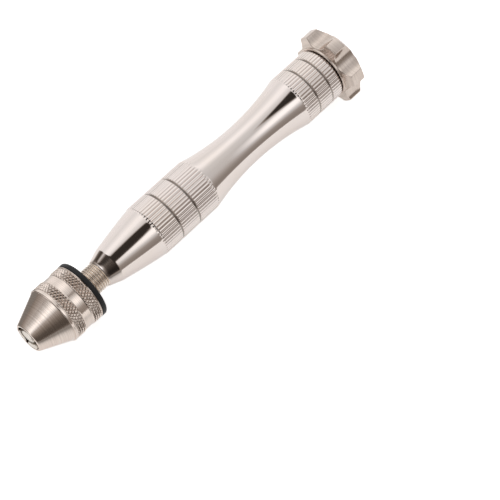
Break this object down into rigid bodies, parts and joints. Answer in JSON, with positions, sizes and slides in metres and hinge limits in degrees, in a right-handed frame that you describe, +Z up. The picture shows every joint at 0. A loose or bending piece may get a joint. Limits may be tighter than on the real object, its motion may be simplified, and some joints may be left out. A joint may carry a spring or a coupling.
{
  "type": "pin vise drill",
  "caption": "Hand pin vise drill with a knurled keyless three-jaw chuck, a fluted waisted handle and a lobed palm cap that swivels on a ball bearing.",
  "frame": {"origin": "middle of the bounding box in plan, on the ground under the cap's lowest lobe, with the tool lying along the ground", "axes": "+X along the tool's axis from the nose to the cap, +Z up"},
  "size_m": [0.1236, 0.022, 0.0226],
  "materials": {
    "polished_nickel": "polished and nickel plated",
    "satin_nickel": "fine turned, satin nickel plated",
    "jaw_steel": "ground steel",
    "thread_nickel": "nickel plated thread",
    "black_plastic": "satin black moulding",
    "bearing_steel": "polished bearing steel",
    "pressed_brass": "pressed brass"
  },
  "bodies": {
    "handle": {"handle": "polished_nickel", "chuck_stud": "thread_nickel", "bearing_inner_race": "bearing_steel", "pivot_screw": "thread_nickel"},
    "cap": {"swivel_cap": "polished_nickel", "bearing_outer_race": "bearing_steel"},
    "ball_set": {"bearing_cage": "pressed_brass", "bearing_ball_1": "bearing_steel", "bearing_ball_2": "bearing_steel", "bearing_ball_3": "bearing_steel", "bearing_ball_4": "bearing_steel", "bearing_ball_5": "bearing_steel", "bearing_ball_6": "bearing_steel", "bearing_ball_7": "bearing_steel"},
    "collar": {"rear_collar": "black_plastic"},
    "chuck": {"chuck_body": "satin_nickel"},
    "sleeve": {"chuck_sleeve": "satin_nickel", "jaw_nut_half_1": "jaw_steel", "jaw_nut_half_2": "jaw_steel"},
    "jaw_1": {"jaw_1": "jaw_steel"},
    "jaw_2": {"jaw_2": "jaw_steel"},
    "jaw_3": {"jaw_3": "jaw_steel"}
  },
  "joints": [
    {"name": "cap_swivel", "type": "hinge", "parent": "handle", "child": "cap", "pos_m": [0.058, 0, 0.0113], "axis": [1, 0, 0], "continuous": true},
    {"name": "ball_set_roll", "type": "hinge", "parent": "handle", "child": "ball_set", "pos_m": [0.0573, 0, 0.0113], "axis": [1, 0, 0], "continuous": true},
    {"name": "chuck_advance", "type": "slide", "parent": "handle", "child": "collar", "axis": [-1, 0, 0], "range_m": [0, 0.0045]},
    {"name": "chuck_turn", "type": "hinge", "parent": "collar", "child": "chuck", "pos_m": [-0.045, 0, 0.0113], "axis": [-1, 0, 0], "range_deg": [0, 2160]},
    {"name": "sleeve_turn", "type": "hinge", "parent": "chuck", "child": "sleeve", "pos_m": [-0.05, 0, 0.0113], "axis": [-1, 0, 0], "range_deg": [-840, 1710]},
    {"name": "jaw_1_slide", "type": "slide", "parent": "chuck", "child": "jaw_1", "axis": [0.9659, -0.0387, 0.2559], "range_m": [-0.00193, 0.00393]},
    {"name": "jaw_2_slide", "type": "slide", "parent": "chuck", "child": "jaw_2", "axis": [0.9659, -0.2023, -0.1615], "range_m": [-0.00194, 0.00394]},
    {"name": "jaw_3_slide", "type": "slide", "parent": "chuck", "child": "jaw_3", "axis": [0.9659, 0.241, -0.0944], "range_m": [-0.00194, 0.00394]}
  ],
  "couplings": [
    {"joint": "ball_set_roll", "follows": "cap_swivel", "ratio": 0.6214},
    {"joint": "chuck_turn", "follows": "chuck_advance", "rad_per_m": 8377.6},
    {"joint": "sleeve_turn", "follows": "jaw_1_slide", "rad_per_m": 7586.4},
    {"joint": "jaw_2_slide", "follows": "jaw_1_slide", "ratio": 1},
    {"joint": "jaw_3_slide", "follows": "jaw_1_slide", "ratio": 1}
  ]
}
